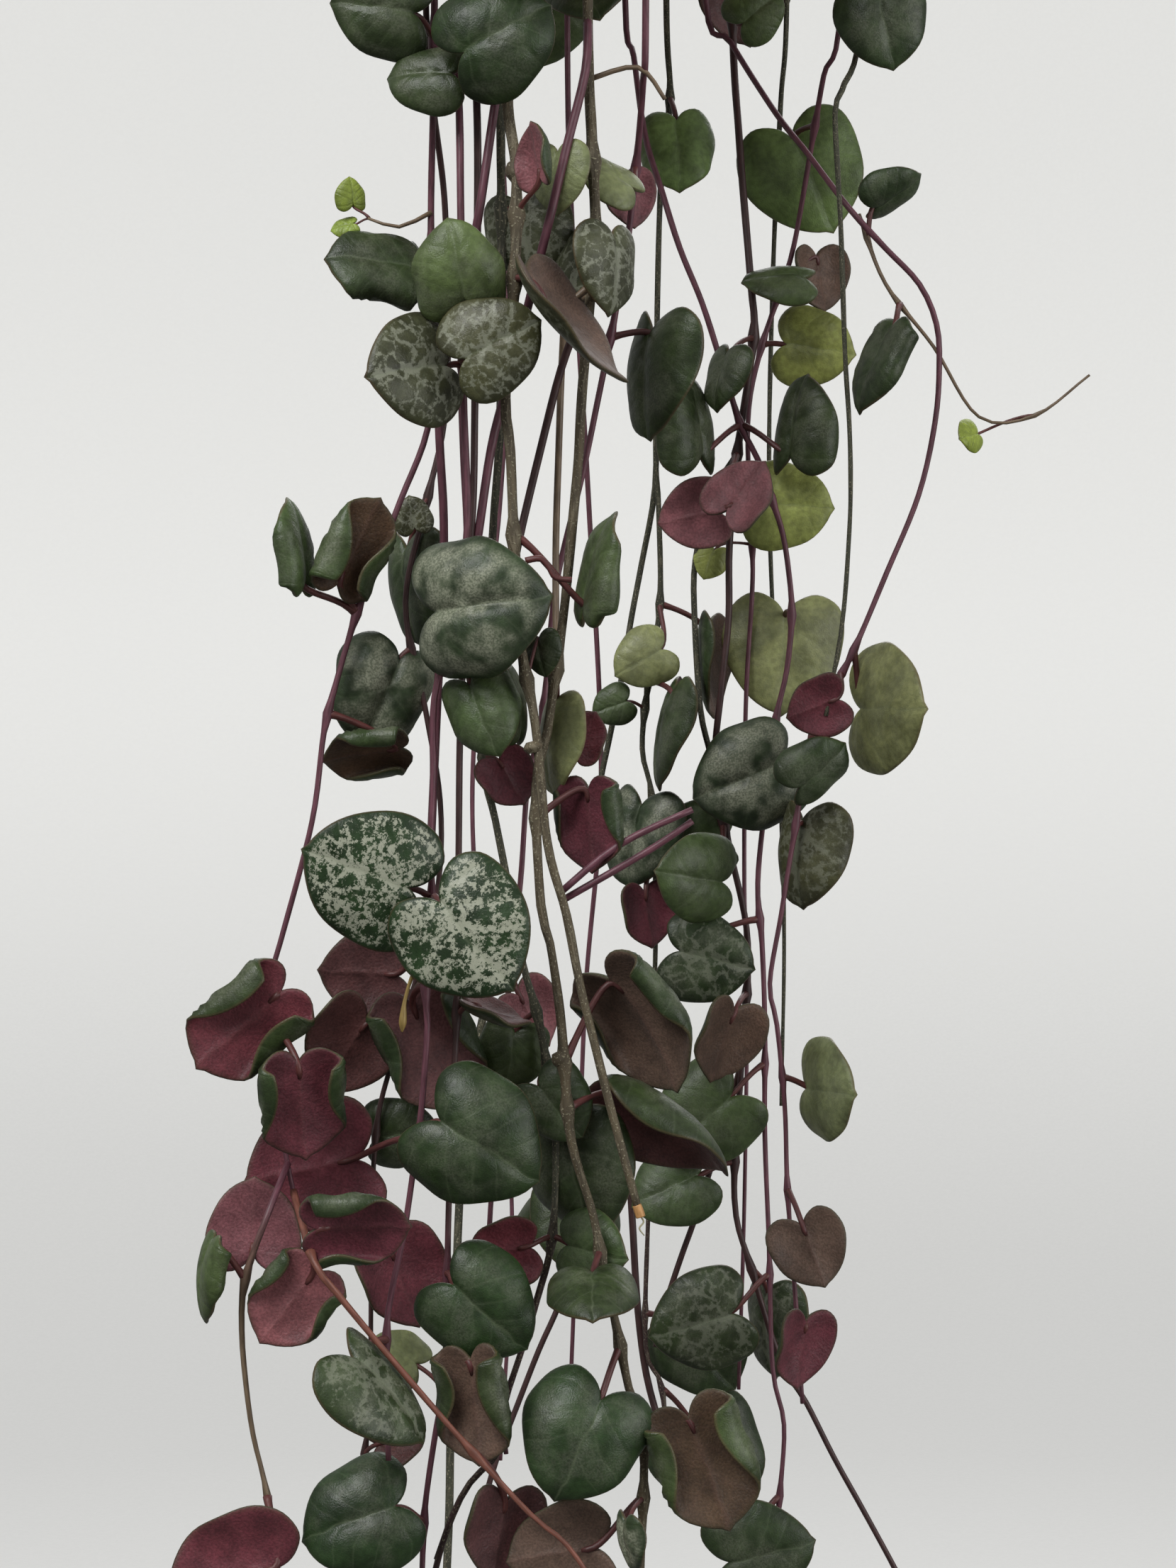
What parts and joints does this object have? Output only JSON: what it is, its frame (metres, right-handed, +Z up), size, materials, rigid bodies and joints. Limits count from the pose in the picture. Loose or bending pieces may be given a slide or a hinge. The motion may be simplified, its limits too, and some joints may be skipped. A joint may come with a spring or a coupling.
{
  "type": "potted string of hearts",
  "caption": "Hanging pot with long trailing strands of heart-shaped leaves, held by wires and an open hook.",
  "frame": {"origin": "the inside of the hook's bend, where it bears on what carries it", "axes": "+Z up along the hanging plant, -Y towards the front curtain of strands"},
  "size_m": [0.156, 0.1462, 0.5961],
  "materials": {
    "moulded_plastic": "moulded, matt",
    "galvanised_steel": "drawn and zinc coated",
    "potting_mix": "loose and dark",
    "tuber_skin": "rough, dry",
    "waxy_leaf": "waxy satin leaves on bare stems"
  },
  "bodies": {
    "root": {"hanger_hook": "galvanised_steel", "hanger_hub": "moulded_plastic", "hanger_wire_1": "galvanised_steel", "hanger_wire_2": "galvanised_steel", "hanger_wire_3": "galvanised_steel", "pot": "moulded_plastic", "soil": "potting_mix", "strand_back_1": "waxy_leaf", "strand_back_2": "waxy_leaf", "strand_back_3": "waxy_leaf", "strand_far_right": "waxy_leaf", "strand_front_brown": "waxy_leaf", "strand_front_green": "waxy_leaf", "strand_front_hearts": "waxy_leaf", "strand_front_right": "waxy_leaf", "strand_front_second": "waxy_leaf", "strand_inner_purple": "waxy_leaf", "strand_left_outer": "waxy_leaf", "strand_left_second": "waxy_leaf", "strand_right_arc": "waxy_leaf", "strand_right_hearts": "waxy_leaf", "strand_right_inner": "waxy_leaf", "strand_right_mid": "waxy_leaf", "strand_right_side": "waxy_leaf", "strand_side_1": "waxy_leaf", "strand_side_2": "waxy_leaf", "strand_side_3": "waxy_leaf", "strand_side_4": "waxy_leaf", "strand_side_5": "waxy_leaf", "tuber_1": "tuber_skin", "tuber_2": "tuber_skin"}
  },
  "joints": []
}
